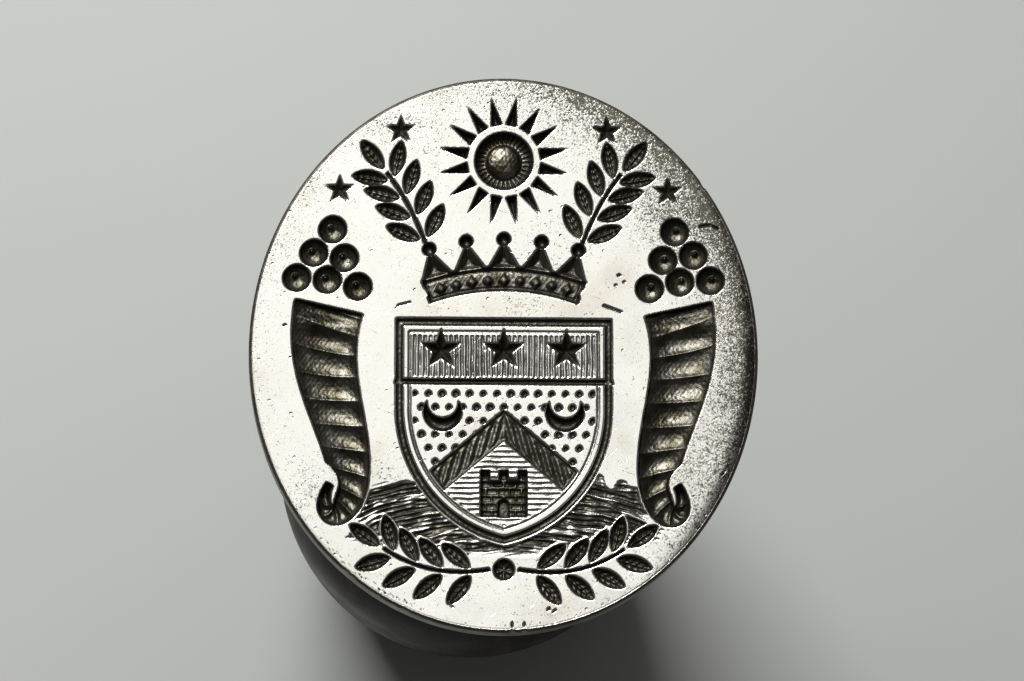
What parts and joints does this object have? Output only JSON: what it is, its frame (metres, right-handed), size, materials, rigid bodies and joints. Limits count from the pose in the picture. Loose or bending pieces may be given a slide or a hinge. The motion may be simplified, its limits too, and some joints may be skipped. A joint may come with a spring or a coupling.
{
  "type": "wax seal stamp",
  "caption": "Hand stamp with an oval steel die, engraved for pressing a seal into soft wax, that screws into a turned dark wood handle with a brass ferrule.",
  "frame": {"origin": "centre of the handle's flat foot, the lowest point of the stamp as it stands with its face up", "axes": "+Z along the handle towards the engraved face, +Y towards the top of the engraved design, +X to the right as the face is looked at"},
  "size_m": [0.03, 0.033, 0.0729],
  "materials": {
    "die_steel": "polished, worn",
    "stud_steel": "turned",
    "washer_leather": "oiled",
    "socket_brass": "turned",
    "cement": "hard pitch",
    "ferrule_brass": "satin, aged",
    "grip_wood": "polished, dark"
  },
  "bodies": {
    "handle": {"handle_grip": "grip_wood", "ferrule": "ferrule_brass", "ferrule_nails": "ferrule_brass", "threaded_socket": "socket_brass", "socket_cement": "cement"},
    "washer": {"die_washer": "washer_leather"},
    "die": {"seal_die": "die_steel", "screw_stud": "stud_steel"}
  },
  "joints": [
    {"name": "die_lift", "type": "slide", "parent": "handle", "child": "washer", "axis": [0, 0, 1], "range_m": [0, 0.008]},
    {"name": "die_unscrew", "type": "hinge", "parent": "washer", "child": "die", "pos_m": [0, 0, 0.0594], "axis": [0, 0, 1], "range_deg": [0, 2880]}
  ],
  "couplings": [
    {"joint": "die_lift", "follows": "die_unscrew", "m_per_rad": 0.00015915}
  ]
}
